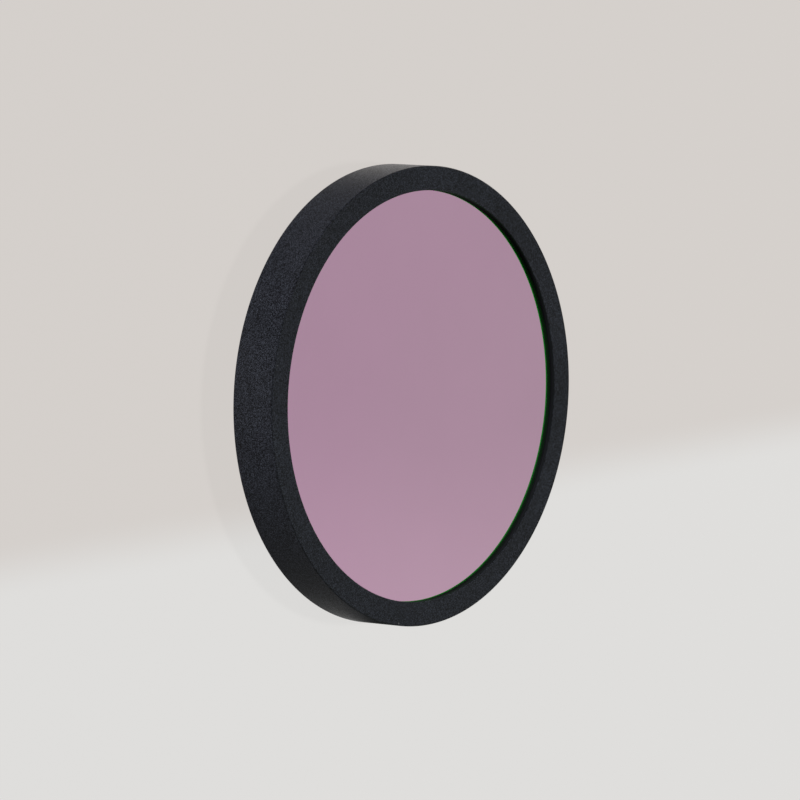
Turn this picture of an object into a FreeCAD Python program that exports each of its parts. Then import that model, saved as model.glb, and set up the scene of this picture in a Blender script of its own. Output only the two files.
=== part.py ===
"""A round nebula filter: a turned black cell, the coated filter glass and the ring that holds it.

The filter lies on its rear rim. The origin is the centre of that rim, +Z is the optical axis,
and the front, with its thin lip and the coated side of the glass, looks up. Millimetres.
"""

import FreeCAD, Part
import math
import os

# Cell, from its outside inwards
OUTSIDE_DIAMETER = 50.8
THREAD_WALL = 1.4
THREAD_DEPTH = 0.4
GLASS_PLAY = 0.1
SEAT_WIDTH = 0.8

# Cell, from its front face to its rear rim
LIP_THICKNESS = 0.65
GLASS_THICKNESS = 2.0
RING_THICKNESS = 1.5
REAR_RECESS = 1.45

# Edges of the cell
RIM_CHAMFER = 0.1
APERTURE_CHAMFER = 0.08
THREAD_MOUTH_CHAMFER = 0.3

# Groove in which the thread ends, beside the rear edge of the glass
THREAD_OVERRUN = 0.2
RELIEF_WIDTH = 0.5
RELIEF_DEPTH = 0.1

# Filter glass
GLASS_BEVEL = 0.15

# Retaining ring
RING_PLAY = 0.05
RING_SETBACK = 0.1
RING_CHAMFER = 0.15
SLOT_COUNT = 2
SLOT_WIDTH = 1.2
SLOT_DEPTH = 0.8

# Radii, worked out inwards from the outside of the cell
rim_radius = OUTSIDE_DIAMETER / 2
thread_radius = rim_radius - THREAD_WALL
glass_bore_radius = thread_radius - THREAD_DEPTH
glass_radius = glass_bore_radius - GLASS_PLAY
aperture_radius = glass_radius - SEAT_WIDTH
relief_radius = thread_radius + RELIEF_DEPTH
ring_outer_radius = thread_radius - RING_PLAY
ring_inner_radius = aperture_radius + RING_SETBACK

# Heights, worked out upwards from the rear rim
rear_rim_z = 0.0
ring_rear_z = rear_rim_z + REAR_RECESS
glass_rear_z = ring_rear_z + RING_THICKNESS
glass_front_z = glass_rear_z + GLASS_THICKNESS
front_face_z = glass_front_z + LIP_THICKNESS
relief_rear_z = glass_rear_z + THREAD_OVERRUN
relief_front_z = relief_rear_z + RELIEF_WIDTH

AXIS_POINT = FreeCAD.Vector(0, 0, 0)
AXIS = FreeCAD.Vector(0, 0, 1)


def turned(profile):
    """A solid of revolution about the optical axis, from a closed profile of (radius, height)."""
    points = [FreeCAD.Vector(radius, 0, height) for radius, height in profile]
    outline = Part.makePolygon(points + [points[0]])
    return Part.Face(outline).revolve(AXIS_POINT, AXIS, 360)


def make_cell():
    """The cell is one turned ring, open from the rear, with a thin lip left at the front.

    From the front inwards its section has the lip with a chamfered aperture, the seat against
    which the glass lies, the bore that centres the glass, the relief groove and the threaded
    length. The threaded length is drawn at the bottom of its thread.
    """
    profile = [
        (rim_radius - RIM_CHAMFER, rear_rim_z),
        (rim_radius, rear_rim_z + RIM_CHAMFER),
        (rim_radius, front_face_z - RIM_CHAMFER),
        (rim_radius - RIM_CHAMFER, front_face_z),
        (aperture_radius + APERTURE_CHAMFER, front_face_z),
        (aperture_radius, front_face_z - APERTURE_CHAMFER),
        (aperture_radius, glass_front_z),
        (glass_bore_radius, glass_front_z),
        (glass_bore_radius, relief_front_z),
        (relief_radius, relief_front_z),
        (relief_radius, relief_rear_z),
        (thread_radius, relief_rear_z),
        (thread_radius, rear_rim_z + THREAD_MOUTH_CHAMFER),
        (thread_radius + THREAD_MOUTH_CHAMFER, rear_rim_z),
    ]
    return turned(profile)


def make_filter_glass():
    """The glass is a plane disc, bevelled all round on both faces, that touches the seat."""
    profile = [
        (0, glass_rear_z),
        (glass_radius - GLASS_BEVEL, glass_rear_z),
        (glass_radius, glass_rear_z + GLASS_BEVEL),
        (glass_radius, glass_front_z - GLASS_BEVEL),
        (glass_radius - GLASS_BEVEL, glass_front_z),
        (0, glass_front_z),
    ]
    return turned(profile)


def make_retaining_ring():
    """The ring screws in behind the glass and bears on it, with slots for a spanner in its rear."""
    profile = [
        (ring_inner_radius + RING_CHAMFER, ring_rear_z),
        (ring_outer_radius - RING_CHAMFER, ring_rear_z),
        (ring_outer_radius, ring_rear_z + RING_CHAMFER),
        (ring_outer_radius, glass_rear_z - RING_CHAMFER),
        (ring_outer_radius - RING_CHAMFER, glass_rear_z),
        (ring_inner_radius, glass_rear_z),
        (ring_inner_radius, ring_rear_z + RING_CHAMFER),
    ]
    ring = turned(profile)
    for number in range(SLOT_COUNT):
        ring = ring.cut(spanner_slot(360 * number / SLOT_COUNT))
    return ring


def spanner_slot(angle):
    """The room cut by one spanner slot, a block that runs out across the ring at that angle.

    The block starts half a ring width inside the ring and ends as far outside it, so that the
    cut goes clean through both walls, and below the ring's rear face so that the slot is open.
    """
    ring_width = ring_outer_radius - ring_inner_radius
    corner = FreeCAD.Vector(ring_inner_radius - ring_width / 2, -SLOT_WIDTH / 2, ring_rear_z - SLOT_DEPTH)
    block = Part.makeBox(2 * ring_width, SLOT_WIDTH, 2 * SLOT_DEPTH, corner)
    block.rotate(AXIS_POINT, AXIS, angle)
    return block


os.makedirs("parts", exist_ok=True)
pieces = {
    "cell": make_cell(),
    "filter_glass": make_filter_glass(),
    "retaining_ring": make_retaining_ring(),
}
for name, shape in pieces.items():
    shape.exportStep(f"parts/{name}.step")
    print(name, "valid", shape.isValid(), "volume", round(shape.Volume, 2), "mm3")
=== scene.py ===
"""The looks of a round mounted nebula filter that lies on its rear rim, front face up.

Sizes are in metres, in the frame of the CAD model: the optical axis is +Z, the rear rim lies on
the floor at Z = 0, and the camera looks down on the front from the -Y side.
"""

import math

import bmesh
import bpy
import numpy as np
from mathutils import Matrix, Vector


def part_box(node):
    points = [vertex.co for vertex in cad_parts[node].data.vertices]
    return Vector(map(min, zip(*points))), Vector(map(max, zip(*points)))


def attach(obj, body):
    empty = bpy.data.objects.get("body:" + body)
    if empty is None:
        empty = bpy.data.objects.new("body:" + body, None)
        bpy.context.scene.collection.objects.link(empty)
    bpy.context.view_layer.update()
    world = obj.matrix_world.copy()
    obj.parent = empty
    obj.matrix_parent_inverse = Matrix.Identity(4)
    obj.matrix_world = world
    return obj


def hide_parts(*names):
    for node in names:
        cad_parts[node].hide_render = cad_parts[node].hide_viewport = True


MM = 0.001

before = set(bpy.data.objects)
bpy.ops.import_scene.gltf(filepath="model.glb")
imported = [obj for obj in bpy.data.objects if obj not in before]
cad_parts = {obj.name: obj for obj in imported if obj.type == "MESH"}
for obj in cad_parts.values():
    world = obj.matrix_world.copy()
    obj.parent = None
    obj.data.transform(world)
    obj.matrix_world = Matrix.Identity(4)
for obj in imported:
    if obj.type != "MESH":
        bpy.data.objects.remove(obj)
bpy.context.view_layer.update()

# Sizes of the cell, the glass and the ring, as the frame gives them
cell_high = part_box("cell")[1]
glass_low, glass_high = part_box("filter_glass")
ring_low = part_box("retaining_ring")[0]
RIM_RADIUS = cell_high.x
FRONT_Z = cell_high.z
GLASS_RADIUS = glass_high.x
GLASS_REAR_Z = glass_low.z
GLASS_FRONT_Z = glass_high.z
RING_REAR_Z = ring_low.z

# Sizes that the boxes don't give
SEAT_WIDTH = 0.8 * MM
GLASS_PLAY = 0.1 * MM
GLASS_BEVEL = 0.15 * MM
RIM_CHAMFER = 0.1 * MM
APERTURE_CHAMFER = 0.08 * MM
MOUTH_CHAMFER = 0.3 * MM
THREAD_PITCH = 0.75 * MM
THREAD_DEPTH = 0.4 * MM
THREAD_OVERRUN = 0.2 * MM
RELIEF_WIDTH = 0.5 * MM
RELIEF_DEPTH = 0.1 * MM
RING_PLAY = 0.05 * MM
RING_SETBACK = 0.1 * MM
RING_CHAMFER = 0.15 * MM
SLOT_WIDTH = 1.2 * MM
SLOT_DEPTH = 0.8 * MM

# Radii and heights that follow from them
APERTURE_RADIUS = GLASS_RADIUS - SEAT_WIDTH
GLASS_BORE_RADIUS = GLASS_RADIUS + GLASS_PLAY
THREAD_RADIUS = GLASS_BORE_RADIUS + THREAD_DEPTH
MOUTH_RADIUS = THREAD_RADIUS + MOUTH_CHAMFER
RELIEF_RADIUS = THREAD_RADIUS + RELIEF_DEPTH
RELIEF_REAR_Z = GLASS_REAR_Z + THREAD_OVERRUN
RELIEF_FRONT_Z = RELIEF_REAR_Z + RELIEF_WIDTH
RING_OUTER_RADIUS = THREAD_RADIUS - RING_PLAY
RING_INNER_RADIUS = APERTURE_RADIUS + RING_SETBACK

# Form of the thread, in pitches: half of the flat at its root, and the rise of a flank
THREAD_ROOT_HALF = 1 / 16
THREAD_FLANK = 5 / 16

# How finely a turned piece is divided and rounded
TURN_STEPS = 360
ARC_STEPS = 4
EDGE_RADIUS = 0.025 * MM
EDGE_SUPPORT = 0.02 * MM
THREAD_ROW = THREAD_PITCH / 24
THREAD_KEEP_OFF = 0.05 * MM
MERGE_DISTANCE = 1e-8
SHARP_ANGLE = math.radians(32)

# Blasted skin, as patterns with so many features a metre
DIMPLES = 11000
# Span of the distance from a dimple's centre over which its painted shade falls
DIMPLE_SHADE_SPAN = (0.1, 0.9)
COARSE_RELIEF = 1200
COARSE_DETAIL = 2
COARSE_SHARE = 0.5
DRIFT = 110
DRIFT_DETAIL = 4
DRIFT_SPAN = (0.3, 0.7)
RELIEF_HEIGHT = 0.01 * MM

# Dust, as places a metre, the share of them that hold a speck, and a speck's radius in places
CELL_DUST_PLACES = 600
CELL_DUST_SHARE = 0.03
CELL_DUST_COLOUR = (0.12, 0.12, 0.12, 1)
GLASS_DUST_PLACES = 450
GLASS_DUST_SHARE = 0.012
GLASS_DUST_COLOUR = (0.85, 0.80, 0.84, 1)
SPECK_RADIUS = 0.06

# Turned skin
LINE_PITCH = 0.06 * MM
LINE_DEPTH = 0.0015 * MM
STREAKS_PER_LINE = 0.4
STREAK_DETAIL = 3

# Tones, roughness and gloss of the black pieces, each range as the pattern goes from 0 to 1
# The blasted black follows a dimple's random grain, which is also painted glints and painted shade
BLASTED_BLACK = [(0.04, (0.0033, 0.0036, 0.0049)), (0.75, (0.0385, 0.0432, 0.0580))]
# The turned black is deeper; on the lip wall and in the bore it is also painted shade
TURNED_BLACK_AND_BORE_SHADE = [(0.25, (0.003, 0.003, 0.004)), (0.75, (0.012, 0.0125, 0.015))]
BLASTED_ROUGHNESS = (0.5, 0.3)
TURNED_ROUGHNESS = (0.24, 0.4)
BLACK_GLOSS = 0.08
DRIFT_SHADE = (0.85, 1.15)
# Painted shade: the share of their black that the outer chamfers keep
CHAMFER_PAINTED_SHADE = 0.85

# Coating of the glass, and what it lets through
MIRROR_TINT_LOW = (0.717, 0.221, 0.664)
MIRROR_TINT_HIGH = (0.732, 0.230, 0.678)
MIRROR_ROUGHNESS = 0.02
PASSED_GREEN = (0.003, 0.82, 0.03, 1)
PASSED_ROUGHNESS = 0.4
GREEN_SHARE = 0.2

# Surroundings, as they look to the camera and in the mirror of the glass
WALL_COLOUR = (0.671, 0.637, 0.609, 1)
TABLE_COLOUR = (0.746, 0.738, 0.724, 1)
BRIGHTER_SIDE = (0.788, 0.879, 0.714, 1)
BRIGHTER_FROM = (0.037, 0.070)
WHITE = (1, 1, 1, 1)
WORLD_LIGHT = 0.07

# Floor: its reach, and the slanting edge between its two tones, as X at the middle and X per Y
FLOOR_REACH = 3.0
FLOOR_ROUGHNESS = 0.9
FLOOR_SHADE = 0.06
FLOOR_GLOW = 0.35
TABLE_EDGE = (8.7 * MM, 15.5 * MM)
TABLE_SLANT = 0.1068

# Floor in a mirror: a painted shadow of the filter beyond +X that sets in along Y, and brighter
# nearby
MIRRORED_SHADOW_EDGE = (25.3 * MM, 26.6 * MM)
MIRRORED_SHADOW_SETS_IN = (-11 * MM, -1 * MM)
MIRRORED_SHADOW_GLOW = 0.03
NEARBY = (-37 * MM, -28 * MM)
FAR_GLOW = 0.5
NEARBY_SIDES = (-12 * MM, 3 * MM)
NEARBY_GLOW = (2, 1.25)

# Ray depth of what one mirror shows, which counts one more for the world than for a surface
FLOOR_MIRROR_DEPTH = 1
WORLD_MIRROR_DEPTH = 2

# The photograph's view, found by fitting ellipses to the rim and the opening
PHOTO_SIZE = 800
PHOTO_CENTRE_X = 424.15
PHOTO_CENTRE_Y = 396.4
PHOTO_PIXELS_PER_METRE = 9085
CAMERA_DISTANCE = 0.8
TILT = math.radians(49.86)
ROLL = math.radians(-4.33)
SENSOR_WIDTH = 36


def rounded_section(corners):
    """A closed section of (radius, height) with each corner replaced by a tangent arc.

    The arc starts and ends its radius * tan(half the turn) from the corner. A support point just
    beyond each end of the arc keeps the shading of the flat beside it even.
    """
    corners = np.asarray(corners, float)
    before = np.roll(corners, 1, axis=0)
    after = np.roll(corners, -1, axis=0)
    way_in = corners - before
    way_out = after - corners
    way_in /= np.linalg.norm(way_in, axis=1)[:, None]
    way_out /= np.linalg.norm(way_out, axis=1)[:, None]
    crossed = way_in[:, 0] * way_out[:, 1] - way_in[:, 1] * way_out[:, 0]
    turn = np.arctan2(crossed, (way_in * way_out).sum(1))
    reach = EDGE_RADIUS * np.tan(np.abs(turn) / 2)
    start = corners - way_in * reach[:, None]
    side = np.stack((-way_in[:, 1], way_in[:, 0]), axis=1) * np.sign(turn)[:, None]
    centre = start + side * EDGE_RADIUS
    share = np.linspace(0, 1, ARC_STEPS + 1)[None, :, None]
    swing = turn[:, None, None] * share
    spoke = -side[:, None, :] * EDGE_RADIUS
    quarter = np.stack((-spoke[..., 1], spoke[..., 0]), axis=-1)
    arc = centre[:, None, :] + spoke * np.cos(swing) + quarter * np.sin(swing)
    lead = (start - way_in * EDGE_SUPPORT)[:, None, :]
    trail = (arc[:, -1] + way_out * EDGE_SUPPORT)[:, None, :]
    return np.concatenate((lead, arc, trail), axis=1).reshape(-1, 2)


def fine_rows(section, low, high):
    """The section, with its upright sides between two heights divided into thread rows."""
    rows = []
    for here, there in zip(section, np.roll(section, -1, axis=0)):
        rows.append(here[None, :])
        rise = abs(there[1] - here[1])
        upright = rise > 2 * THREAD_ROW and abs(there[0] - here[0]) < THREAD_ROW
        bottom, top = sorted((here[1], there[1]))
        between = low - EDGE_SUPPORT <= bottom and top <= high + EDGE_SUPPORT
        if upright and between:
            share = np.linspace(0, 1, int(rise / THREAD_ROW) + 1)[1:-1, None]
            rows.append(here + (there - here) * share)
    return np.concatenate(rows)


def thread_ridge(angle, height):
    """How far a 60 degree thread stands out of its root, as a share of its depth, from 0 to 1.

    The place along the thread is the height in pitches less the turns made, so that the ridge
    climbs one pitch in a turn. Each pitch has a root flat, two straight flanks and a crest flat.
    """
    place = height / THREAD_PITCH - angle / (2 * math.pi)
    from_root = np.abs(place - np.round(place))
    return np.clip((from_root - THREAD_ROOT_HALF) / THREAD_FLANK, 0, 1)


def turned_mesh(name, section, thread=None):
    """A surface of revolution, from a closed section and a full turn of angles.

    A point is (radius * cos(angle), radius * sin(angle), height). thread, where given, returns the
    radius for an angle, a height and the plain radius. Rows on the axis close to one point.
    """
    angle = np.linspace(0, 2 * math.pi, TURN_STEPS, endpoint=False)[None, :]
    radius = np.repeat(section[:, :1], TURN_STEPS, axis=1)
    height = np.repeat(section[:, 1:], TURN_STEPS, axis=1)
    if thread is not None:
        radius = thread(angle, height, radius)
    points = np.stack((radius * np.cos(angle), radius * np.sin(angle), height), axis=-1)
    rows, columns = radius.shape
    row = np.arange(rows)[:, None]
    column = np.arange(columns)[None, :]
    next_row = (row + 1) % rows
    next_column = (column + 1) % columns
    quads = np.stack(
        (
            row * columns + column,
            row * columns + next_column,
            next_row * columns + next_column,
            next_row * columns + column,
        ),
        axis=-1,
    )
    mesh = bpy.data.meshes.new(name)
    mesh.from_pydata(points.reshape(-1, 3).tolist(), [], quads.reshape(-1, 4).tolist())
    tidy_mesh(mesh)
    return mesh


def tidy_mesh(mesh):
    """Merges points that coincide, drops flat faces, turns the faces outwards and smooths them."""
    shell = bmesh.new()
    shell.from_mesh(mesh)
    bmesh.ops.remove_doubles(shell, verts=shell.verts, dist=MERGE_DISTANCE)
    bmesh.ops.dissolve_degenerate(shell, edges=shell.edges, dist=MERGE_DISTANCE)
    bmesh.ops.recalc_face_normals(shell, faces=shell.faces)
    shell.to_mesh(mesh)
    shell.free()
    mesh.polygons.foreach_set("use_smooth", np.ones(len(mesh.polygons), bool))
    mesh.set_sharp_from_angle(angle=SHARP_ANGLE)
    mesh.update()


def new_object(name, data):
    """Puts a mesh, a lamp or a camera in the scene."""
    placed = bpy.data.objects.new(name, data)
    bpy.context.scene.collection.objects.link(placed)
    return placed


def new_piece(name, mesh, material, node):
    """Puts a mesh in the scene as the piece that stands for a node of the frame."""
    piece = new_object(name, mesh)
    mesh.materials.append(material)
    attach(piece, "root")
    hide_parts(node)
    return piece


def cell_thread(angle, height, radius):
    """The inside of the cell: the thread stands inwards from its root, cut by the mouth cone."""
    threaded = (radius < MOUTH_RADIUS + EDGE_SUPPORT) & (height < RELIEF_REAR_Z - THREAD_KEEP_OFF)
    off_rim = (radius < RIM_RADIUS - RIM_CHAMFER - THREAD_KEEP_OFF) & (height > EDGE_SUPPORT)
    cone = MOUTH_RADIUS - height
    cut = THREAD_RADIUS - THREAD_DEPTH * thread_ridge(angle, height)
    return np.where(threaded & off_rim, np.minimum(radius, np.maximum(cut, cone)), radius)


def make_cell(material):
    """The cell: rim, chamfers, front face, lip, glass bore, relief groove and threaded length."""
    corners = [
        (RIM_RADIUS - RIM_CHAMFER, 0),
        (RIM_RADIUS, RIM_CHAMFER),
        (RIM_RADIUS, FRONT_Z - RIM_CHAMFER),
        (RIM_RADIUS - RIM_CHAMFER, FRONT_Z),
        (APERTURE_RADIUS + APERTURE_CHAMFER, FRONT_Z),
        (APERTURE_RADIUS, FRONT_Z - APERTURE_CHAMFER),
        (APERTURE_RADIUS, GLASS_FRONT_Z),
        (GLASS_BORE_RADIUS, GLASS_FRONT_Z),
        (GLASS_BORE_RADIUS, RELIEF_FRONT_Z),
        (RELIEF_RADIUS, RELIEF_FRONT_Z),
        (RELIEF_RADIUS, RELIEF_REAR_Z),
        (THREAD_RADIUS, RELIEF_REAR_Z),
        (THREAD_RADIUS, MOUTH_CHAMFER),
        (MOUTH_RADIUS, 0),
    ]
    section = fine_rows(rounded_section(corners), 0, RELIEF_REAR_Z)
    mesh = turned_mesh("cell_body", section, cell_thread)
    piece = new_piece("cell_body", mesh, material, "cell")


def make_glass(material):
    """The glass: a plane disc with a small straight bevel round both faces."""
    section = np.array(
        [
            (0, GLASS_REAR_Z),
            (GLASS_RADIUS - GLASS_BEVEL, GLASS_REAR_Z),
            (GLASS_RADIUS, GLASS_REAR_Z + GLASS_BEVEL),
            (GLASS_RADIUS, GLASS_FRONT_Z - GLASS_BEVEL),
            (GLASS_RADIUS - GLASS_BEVEL, GLASS_FRONT_Z),
            (0, GLASS_FRONT_Z),
        ]
    )
    mesh = turned_mesh("coated_disc", section)
    piece = new_piece("coated_disc", mesh, material, "filter_glass")


def ring_thread(angle, height, radius):
    """The outside of the ring: the cell's thread, smaller by the play between the two."""
    outside = radius > RING_OUTER_RADIUS - RING_CHAMFER
    cut = THREAD_RADIUS - THREAD_DEPTH * thread_ridge(angle, height) - RING_PLAY
    return np.where(outside, np.minimum(radius, cut), radius)


def make_ring(material):
    """The retaining ring: a threaded ring with two spanner slots cut across its rear face."""
    corners = [
        (RING_INNER_RADIUS + RING_CHAMFER, RING_REAR_Z),
        (RING_OUTER_RADIUS - RING_CHAMFER, RING_REAR_Z),
        (RING_OUTER_RADIUS, RING_REAR_Z + RING_CHAMFER),
        (RING_OUTER_RADIUS, GLASS_REAR_Z - RING_CHAMFER),
        (RING_OUTER_RADIUS - RING_CHAMFER, GLASS_REAR_Z),
        (RING_INNER_RADIUS, GLASS_REAR_Z),
        (RING_INNER_RADIUS, RING_REAR_Z + RING_CHAMFER),
    ]
    section = fine_rows(rounded_section(corners), RING_REAR_Z, GLASS_REAR_Z)
    mesh = turned_mesh("spanner_ring", section, ring_thread)
    piece = new_piece("spanner_ring", mesh, material, "retaining_ring")
    cut_spanner_slots(piece)


def cut_spanner_slots(piece):
    """Cuts both slots with one bar, longer than the ring is wide, and keeps the result."""
    bar_mesh = bpy.data.meshes.new("spanner_bar")
    bar = bmesh.new()
    size = Matrix.Diagonal((4 * RING_OUTER_RADIUS, SLOT_WIDTH, 2 * SLOT_DEPTH, 1))
    bmesh.ops.create_cube(bar, size=1, matrix=Matrix.Translation((0, 0, RING_REAR_Z)) @ size)
    bar.to_mesh(bar_mesh)
    bar.free()
    bar_object = new_object("spanner_bar", bar_mesh)
    cut = piece.modifiers.new("slots", "BOOLEAN")
    cut.operation = "DIFFERENCE"
    cut.solver = "EXACT"
    cut.object = bar_object
    graph = bpy.context.evaluated_depsgraph_get()
    result = bpy.data.meshes.new_from_object(piece.evaluated_get(graph), depsgraph=graph)
    piece.modifiers.clear()
    result.name = piece.data.name
    piece.data = result
    tidy_mesh(result)
    bpy.data.objects.remove(bar_object)
    bpy.data.meshes.remove(bar_mesh)


def add(tree, kind, **settings):
    """A new shader node, with its properties set by name."""
    node = tree.nodes.new(kind)
    for name, value in settings.items():
        setattr(node, name, value)
    return node


def feed(tree, socket, value):
    """Sets an input to a plain value, or links it to another node's output."""
    if isinstance(value, bpy.types.NodeSocket):
        tree.links.new(value, socket)
    else:
        socket.default_value = value


def wired(tree, kind, inputs, **settings):
    """A new shader node with its properties set, and with the named or numbered inputs fed."""
    node = add(tree, kind, **settings)
    for socket, value in inputs.items():
        feed(tree, node.inputs[socket], value)
    return node


def calculated(tree, operation, *values):
    """The result of a Math node, of the given values or outputs."""
    return wired(tree, "ShaderNodeMath", dict(enumerate(values)), operation=operation).outputs[0]


def ranged(tree, value, span, result, soft=True):
    """A value carried from one span to another and held at the ends, in a soft S or evenly."""
    inputs = {
        "Value": value,
        "From Min": span[0],
        "From Max": span[1],
        "To Min": result[0],
        "To Max": result[1],
    }
    kind = "SMOOTHSTEP" if soft else "LINEAR"
    node = wired(tree, "ShaderNodeMapRange", inputs, interpolation_type=kind)
    return node.outputs["Result"]


def mixed(tree, kind, share, first, second):
    """A mix of two colours or two numbers: the first at a share of 0, the second at 1."""
    inputs = {"Factor": share, "A": first, "B": second}
    return wired(tree, "ShaderNodeMix", inputs, data_type=kind).outputs["Result"]


def mixed_shader(tree, share, first, second):
    """A mix of two shaders: the first at a share of 0, the second at 1."""
    inputs = {"Fac": share, 1: first, 2: second}
    return wired(tree, "ShaderNodeMixShader", inputs).outputs["Shader"]


def colour_ramp(tree, place, stops):
    """The colour at a place between the given (place, colour) stops."""
    ramp = wired(tree, "ShaderNodeValToRGB", {"Fac": place})
    elements = ramp.color_ramp.elements
    while len(elements) < len(stops):
        elements.new(0.5)
    for element, (position, colour) in zip(elements, stops):
        element.position = position
        element.color = (*colour, 1)
    return ramp.outputs["Color"]


def red_of(tree, colour):
    """The red channel of a colour, which is a random number for each cell of a cell pattern."""
    return wired(tree, "ShaderNodeSeparateColor", {"Color": colour}).outputs["Red"]


def object_place(tree):
    """The place on the object, in metres."""
    return add(tree, "ShaderNodeTexCoord").outputs["Object"]


def group_tree(name, inputs, outputs):
    """An empty node group with named float or vector sockets, and its two end nodes."""
    tree = bpy.data.node_groups.new(name, "ShaderNodeTree")
    for socket, (kind, value) in inputs.items():
        new_socket = tree.interface.new_socket(socket, in_out="INPUT", socket_type=kind)
        if value is not None:
            new_socket.default_value = value
    for socket in outputs:
        tree.interface.new_socket(socket, in_out="OUTPUT", socket_type="NodeSocketFloat")
    return tree, add(tree, "NodeGroupInput"), add(tree, "NodeGroupOutput")


def blasted_skin_group():
    """Bead-blasted and anodised skin: dimples, their relief, a slow drift, and pale dust specks.

    Facet is the brightness of a dimple, a random value from 0 to 1 for each cell of a fine cell
    pattern, which is random grain and also painted glints, less towards the cell's border as
    painted dimple shade. Relief is the distance from the nearest cell centre, so that each cell
    dips in, plus half of a coarser noise. Drift is slow noise about 0.5.
    Dust is the middle of a few cells of a wide cell pattern, chosen by their random value.
    """
    tree, given, result = group_tree(
        "blasted_skin",
        {
            "Vector": ("NodeSocketVector", None),
            "Grain": ("NodeSocketFloat", DIMPLES),
            "Dust": ("NodeSocketFloat", CELL_DUST_SHARE),
            "Dust Places": ("NodeSocketFloat", CELL_DUST_PLACES),
        },
        ("Facet", "Relief", "Drift", "Dust"),
    )
    place = given.outputs["Vector"]
    inputs = {"Vector": place, "Scale": given.outputs["Grain"]}
    dimples = wired(tree, "ShaderNodeTexVoronoi", inputs)
    distance = dimples.outputs["Distance"]
    # Painted dimple shade and glints: each dimple's random brightness fades towards its border
    painted_dimple_shade = ranged(tree, distance, DIMPLE_SHADE_SPAN, (1, 0))
    facet = calculated(tree, "MULTIPLY", red_of(tree, dimples.outputs["Color"]), painted_dimple_shade)
    inputs = {"Vector": place, "Scale": COARSE_RELIEF, "Detail": COARSE_DETAIL}
    coarse = wired(tree, "ShaderNodeTexNoise", inputs).outputs["Fac"]
    relief = calculated(tree, "MULTIPLY_ADD", coarse, COARSE_SHARE, distance)
    inputs = {"Vector": place, "Scale": DRIFT, "Detail": DRIFT_DETAIL}
    drift = wired(tree, "ShaderNodeTexNoise", inputs).outputs["Fac"]
    inputs = {"Vector": place, "Scale": given.outputs["Dust Places"]}
    places = wired(tree, "ShaderNodeTexVoronoi", inputs)
    near = calculated(tree, "LESS_THAN", places.outputs["Distance"], SPECK_RADIUS)
    lot = red_of(tree, places.outputs["Color"])
    chosen = calculated(tree, "LESS_THAN", lot, given.outputs["Dust"])
    dust = calculated(tree, "MULTIPLY", near, chosen)
    for name, value in (("Facet", facet), ("Relief", relief), ("Drift", drift), ("Dust", dust)):
        feed(tree, result.inputs[name], value)
    return tree


def turned_skin_group():
    """Skin left by the lathe: fine lines round the axis, and where the piece has such a skin.

    The place across the lines is the radius plus the height, so they show on flat faces and on
    walls alike. Lines is half of one plus the sine of the place in line pitches, and Streak is a
    one-dimensional noise of the place. Turned is 1 inside the given radius, but not on the face
    round the aperture. Edge is 1 on the outer chamfers, where the radius and the distance from
    the middle height add up to more than on the flats beside them.
    """
    tree, given, result = group_tree(
        "turned_skin",
        {
            "Vector": ("NodeSocketVector", None),
            "Turned Radius": ("NodeSocketFloat", RIM_RADIUS),
        },
        ("Lines", "Streak", "Turned", "Edge"),
    )
    place = given.outputs["Vector"]
    height = wired(tree, "ShaderNodeSeparateXYZ", {"Vector": place}).outputs["Z"]
    across = wired(tree, "ShaderNodeVectorMath", {0: place, 1: (1, 1, 0)}, operation="MULTIPLY")
    flat = across.outputs["Vector"]
    radius = wired(tree, "ShaderNodeVectorMath", {0: flat}, operation="LENGTH").outputs["Value"]
    over = calculated(tree, "ADD", radius, height)
    swing = calculated(tree, "MULTIPLY", over, 2 * math.pi / LINE_PITCH)
    lines = calculated(tree, "MULTIPLY_ADD", calculated(tree, "SINE", swing), 0.5, 0.5)
    inputs = {"W": over, "Scale": STREAKS_PER_LINE / LINE_PITCH, "Detail": STREAK_DETAIL}
    streak = wired(tree, "ShaderNodeTexNoise", inputs, noise_dimensions="1D").outputs["Fac"]
    inside = calculated(tree, "LESS_THAN", radius, given.outputs["Turned Radius"])
    beyond = calculated(tree, "GREATER_THAN", radius, APERTURE_RADIUS + EDGE_SUPPORT)
    high = calculated(tree, "GREATER_THAN", height, (FRONT_Z + GLASS_FRONT_Z) / 2)
    off_face = calculated(tree, "SUBTRACT", 1, calculated(tree, "MULTIPLY", beyond, high))
    turned = calculated(tree, "MULTIPLY", inside, off_face)
    above = calculated(tree, "SUBTRACT", height, FRONT_Z / 2)
    outwards = calculated(tree, "ADD", calculated(tree, "ABSOLUTE", above), radius)
    edge_from = RIM_RADIUS + FRONT_Z / 2 - RIM_CHAMFER - EDGE_SUPPORT
    edge = calculated(tree, "GREATER_THAN", outwards, edge_from)
    for name, value in (("Lines", lines), ("Streak", streak), ("Turned", turned), ("Edge", edge)):
        feed(tree, result.inputs[name], value)
    return tree


def new_material(name):
    """An empty node material, with its output node."""
    material = bpy.data.materials.new(name)
    material.use_nodes = True
    material.node_tree.nodes.clear()
    output = add(material.node_tree, "ShaderNodeOutputMaterial")
    return material, material.node_tree, output


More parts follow.
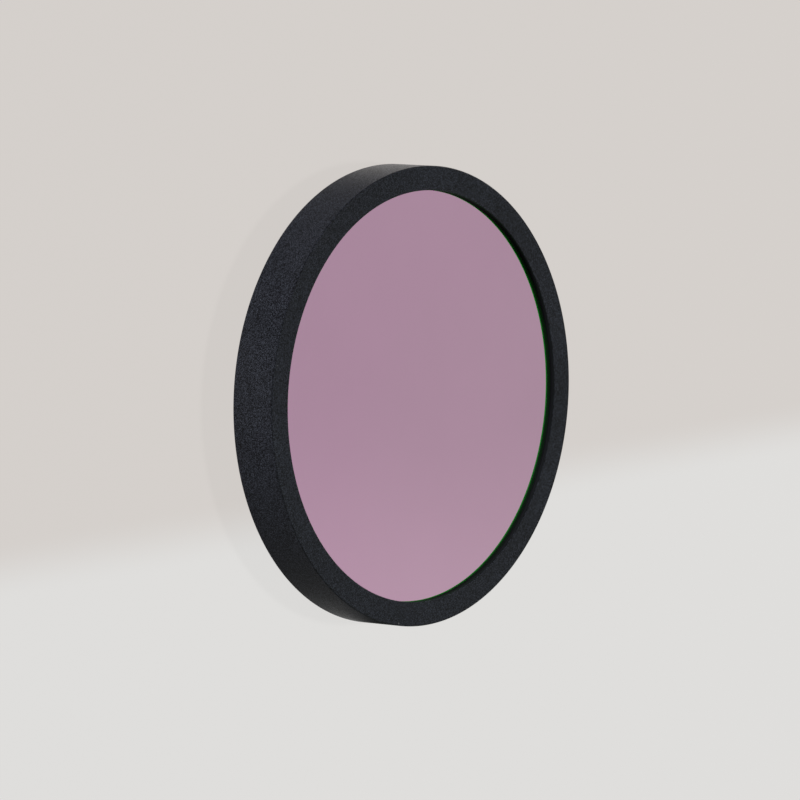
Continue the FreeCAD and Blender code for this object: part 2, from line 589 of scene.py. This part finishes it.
def black_anodised(name, skin_group, turned_group, turned_radius):
    """Black anodised aluminium under a weak rough gloss, bead-blasted outside and turned inside.

    Each blasted dimple takes its own black, a random grain that is also painted glints, with
    painted shade towards its border. The turned skin takes a deeper black that changes from line
    to line; on the lip wall and in the bore this deeper black is also painted shade. The outer
    chamfers are a little deeper in tone, as painted shade.
    """
    material, tree, output = new_material(name)
    place = object_place(tree)
    skin = wired(tree, "ShaderNodeGroup", {"Vector": place}, node_tree=skin_group).outputs
    inputs = {"Vector": place, "Turned Radius": turned_radius}
    turning = wired(tree, "ShaderNodeGroup", inputs, node_tree=turned_group).outputs
    facet = skin["Facet"]
    streak = turning["Streak"]
    turned = turning["Turned"]
    blasted_shade = colour_ramp(tree, facet, BLASTED_BLACK)
    # Deeper turned black, which on the lip wall and in the bore is also painted shade
    turned_shade = colour_ramp(tree, streak, TURNED_BLACK_AND_BORE_SHADE)
    shade = mixed(tree, "RGBA", turned, blasted_shade, turned_shade)
    slow = ranged(tree, skin["Drift"], DRIFT_SPAN, DRIFT_SHADE, soft=False)
    # Painted shade on the outer chamfers
    chamfers = ranged(tree, turning["Edge"], (0, 1), (1, CHAMFER_PAINTED_SHADE), soft=False)
    level = calculated(tree, "MULTIPLY", slow, chamfers)
    inputs = {0: shade, "Scale": level}
    drifted = wired(tree, "ShaderNodeVectorMath", inputs, operation="SCALE").outputs["Vector"]
    colour = mixed(tree, "RGBA", skin["Dust"], drifted, CELL_DUST_COLOUR)
    blasted_rough = ranged(tree, facet, (0, 1), BLASTED_ROUGHNESS, soft=False)
    turned_rough = ranged(tree, streak, (0, 1), TURNED_ROUGHNESS, soft=False)
    rough = mixed(tree, "FLOAT", turned, blasted_rough, turned_rough)
    grooves = calculated(tree, "MULTIPLY", turning["Lines"], LINE_DEPTH / RELIEF_HEIGHT)
    height = mixed(tree, "FLOAT", turned, skin["Relief"], grooves)
    inputs = {"Strength": 1, "Distance": RELIEF_HEIGHT, "Height": height}
    normal = wired(tree, "ShaderNodeBump", inputs).outputs["Normal"]
    inputs = {
        "Base Color": colour,
        "Roughness": rough,
        "Specular IOR Level": BLACK_GLOSS,
        "Normal": normal,
    }
    shader = wired(tree, "ShaderNodeBsdfPrincipled", inputs)
    feed(tree, output.inputs["Surface"], shader.outputs["BSDF"])
    return material


def coated_glass(skin_group):
    """Filter glass: a mauve mirror coating over a body that passes a little green."""
    material, tree, output = new_material("coated_glass")
    inputs = {
        "Vector": object_place(tree),
        "Dust": GLASS_DUST_SHARE,
        "Dust Places": GLASS_DUST_PLACES,
    }
    skin = wired(tree, "ShaderNodeGroup", inputs, node_tree=skin_group).outputs
    stops = [(DRIFT_SPAN[0], MIRROR_TINT_LOW), (DRIFT_SPAN[1], MIRROR_TINT_HIGH)]
    tint = colour_ramp(tree, skin["Drift"], stops)
    colour = mixed(tree, "RGBA", skin["Dust"], tint, GLASS_DUST_COLOUR)
    inputs = {"Base Color": colour, "Metallic": 1, "Roughness": MIRROR_ROUGHNESS}
    mirror = wired(tree, "ShaderNodeBsdfPrincipled", inputs).outputs["BSDF"]
    inputs = {
        "Base Color": PASSED_GREEN,
        "Roughness": PASSED_ROUGHNESS,
        "Specular IOR Level": 0,
    }
    body = wired(tree, "ShaderNodeBsdfPrincipled", inputs).outputs["BSDF"]
    both = mixed_shader(tree, GREEN_SHARE, mirror, body)
    feed(tree, output.inputs["Surface"], both)
    return material


def mirrored_once(tree, path, depth):
    """1 for what the camera sees in one mirror: a glossy ray of the given depth, and else 0."""
    first = calculated(tree, "LESS_THAN", path["Ray Depth"], depth + 0.5)
    return calculated(tree, "MULTIPLY", path["Is Glossy Ray"], first)


def mirrored_floor_glow(tree, x, y):
    """How strongly the floor glows in a mirror, at a place beside the filter.

    Near is high where Y less the size of X is high, and higher towards -X. The painted shadow of
    the filter is 1 up to its +X side, and falls beyond it to a value that sinks evenly as Y grows.
    The glow is near times the painted shadow.
    """
    # Painted shadow of the filter on the floor, as mirrors show it
    shadow_end = ranged(tree, y, MIRRORED_SHADOW_SETS_IN, (1, MIRRORED_SHADOW_GLOW), soft=False)
    painted_shadow = ranged(tree, x, MIRRORED_SHADOW_EDGE, (1, shadow_end))
    brightest = ranged(tree, x, NEARBY_SIDES, NEARBY_GLOW)
    along = calculated(tree, "SUBTRACT", y, calculated(tree, "ABSOLUTE", x))
    near = ranged(tree, along, NEARBY, (FAR_GLOW, brightest))
    return calculated(tree, "MULTIPLY", painted_shadow, near)


def make_floor():
    """A plain pale floor, wide enough to fill every view, with a soft edge between two tones.

    The camera sees part of the tone as it is and the rest as the lamps light it, so that the
    shadow of the filter stays as weak as under light from all round. In a mirror the tone glows
    by itself, with a painted shadow of the filter beyond its +X side, and elsewhere FLOOR_GLOW of
    it does, as light on the filter.
    """
    signs = ((-1, -1), (1, -1), (1, 1), (-1, 1))
    corners = [(x * FLOOR_REACH, y * FLOOR_REACH, 0) for x, y in signs]
    mesh = bpy.data.meshes.new("floor")
    mesh.from_pydata(corners, [], [(0, 1, 2, 3)])
    floor = new_object("floor", mesh)
    material, tree, output = new_material("floor")
    place = wired(tree, "ShaderNodeSeparateXYZ", {"Vector": object_place(tree)}).outputs
    slanted = calculated(tree, "MULTIPLY_ADD", place["Y"], TABLE_SLANT, place["X"])
    table = ranged(tree, slanted, TABLE_EDGE, (0, 1))
    tone = mixed(tree, "RGBA", table, WALL_COLOUR, TABLE_COLOUR)
    inputs = {"Base Color": tone, "Roughness": FLOOR_ROUGHNESS, "Specular IOR Level": 0}
    lit = wired(tree, "ShaderNodeBsdfPrincipled", inputs).outputs["BSDF"]
    plain = wired(tree, "ShaderNodeEmission", {"Color": tone}).outputs["Emission"]
    path = add(tree, "ShaderNodeLightPath").outputs
    share = ranged(tree, path["Is Camera Ray"], (0, 1), (FLOOR_GLOW, 1 - FLOOR_SHADE), soft=False)
    seen = mixed_shader(tree, share, lit, plain)
    glow = mirrored_floor_glow(tree, place["X"], place["Y"])
    inputs = {"Color": tone, "Strength": glow}
    mirrored = wired(tree, "ShaderNodeEmission", inputs).outputs["Emission"]
    once = mirrored_once(tree, path, FLOOR_MIRROR_DEPTH)
    feed(tree, output.inputs["Surface"], mixed_shader(tree, once, seen, mirrored))
    mesh.materials.append(material)


def make_world():
    """A pale studio all round: plain to the camera and in mirrors, and weaker as light.

    In mirrors it is brighter and a little greener where it looks towards +X.
    """
    world = bpy.data.worlds.new("studio")
    bpy.context.scene.world = world
    world.use_nodes = True
    tree = world.node_tree
    tree.nodes.clear()
    output = add(tree, "ShaderNodeOutputWorld")
    way = add(tree, "ShaderNodeTexCoord").outputs["Generated"]
    towards = wired(tree, "ShaderNodeSeparateXYZ", {"Vector": way}).outputs["X"]
    rise = ranged(tree, towards, BRIGHTER_FROM, (0, 1))
    pale = mixed(tree, "RGBA", rise, WALL_COLOUR, BRIGHTER_SIDE)
    mirrored = wired(tree, "ShaderNodeBackground", {"Color": pale}).outputs["Background"]
    seen = wired(tree, "ShaderNodeBackground", {"Color": WALL_COLOUR}).outputs["Background"]
    inputs = {"Color": WHITE, "Strength": WORLD_LIGHT}
    lit = wired(tree, "ShaderNodeBackground", inputs).outputs["Background"]
    path = add(tree, "ShaderNodeLightPath").outputs
    once = mirrored_once(tree, path, WORLD_MIRROR_DEPTH)
    unseen = mixed_shader(tree, once, lit, mirrored)
    both = mixed_shader(tree, path["Is Camera Ray"], unseen, seen)
    feed(tree, output.inputs["Surface"], both)


def soft_lamp(name, azimuth, elevation, distance, width, height, power, colour):
    """A soft lamp that faces the filter and doesn't show in mirrors.

    The azimuth is in degrees from +Y round towards +X, and the elevation in degrees above the
    floor. The way to the lamp is (sin azimuth cos elevation, cos azimuth cos elevation, sin
    elevation).
    """
    azimuth = math.radians(azimuth)
    elevation = math.radians(elevation)
    level = math.cos(elevation)
    away = Vector((math.sin(azimuth) * level, math.cos(azimuth) * level, math.sin(elevation)))
    data = bpy.data.lights.new(name, "AREA")
    data.shape = "RECTANGLE"
    data.size = width
    data.size_y = height
    data.energy = power
    data.color = colour
    lamp = new_object(name, data)
    lamp.location = away * distance
    lamp.rotation_euler = (-away).to_track_quat("-Z", "Y").to_euler()
    lamp.visible_glossy = False
    lamp.visible_camera = False


def make_camera():
    """The camera, with the optical axis tilted from the view and shown pointing right.

    The axis in the camera's own frame is (sin tilt cos roll, sin tilt sin roll, cos tilt). The
    other two axes of the filter follow by cross products, and the sum of the outer products of
    each axis in the frame with the same axis in the camera's frame is the camera's turn.
    """
    focal_pixels = PHOTO_PIXELS_PER_METRE * CAMERA_DISTANCE
    sideways = math.sin(TILT)
    axis = np.array((sideways * math.cos(ROLL), sideways * math.sin(ROLL), math.cos(TILT)))
    away = np.cross((0, 1, 0), axis)
    away /= np.linalg.norm(away)
    across = np.cross(axis, away)
    turn = np.outer((0, 0, 1), axis) + np.outer((0, 1, 0), away) + np.outer((-1, 0, 0), across)
    middle = PHOTO_SIZE / 2
    aside = (PHOTO_CENTRE_X - middle) / focal_pixels * CAMERA_DISTANCE
    above = (middle - PHOTO_CENTRE_Y) / focal_pixels * CAMERA_DISTANCE
    face_centre = np.array((0, 0, FRONT_Z))
    place = face_centre - turn @ np.array((aside, above, -CAMERA_DISTANCE))
    data = bpy.data.cameras.new("camera")
    data.sensor_width = SENSOR_WIDTH
    data.lens = focal_pixels * SENSOR_WIDTH / PHOTO_SIZE
    camera = new_object("camera", data)
    camera.matrix_world = Matrix.Translation(place) @ Matrix(turn.tolist()).to_4x4()
    bpy.context.scene.camera = camera


skin_group = blasted_skin_group()
turned_group = turned_skin_group()
make_cell(black_anodised("cell_black", skin_group, turned_group, MOUTH_RADIUS))
make_glass(coated_glass(skin_group))
make_ring(black_anodised("ring_black", skin_group, turned_group, RIM_RADIUS))

make_floor()
make_world()
soft_lamp(
    "key",
    azimuth=0,
    elevation=47.5,
    distance=2.0,
    width=0.16,
    height=0.16,
    power=38.5,
    colour=(1, 1, 1),
)
soft_lamp(
    "fill",
    azimuth=217,
    elevation=1.6,
    distance=1.5,
    width=0.25,
    height=0.07,
    power=28.5,
    colour=(1, 0.98, 0.96),
)
make_camera()
bpy.context.scene.view_settings.view_transform = "Standard"
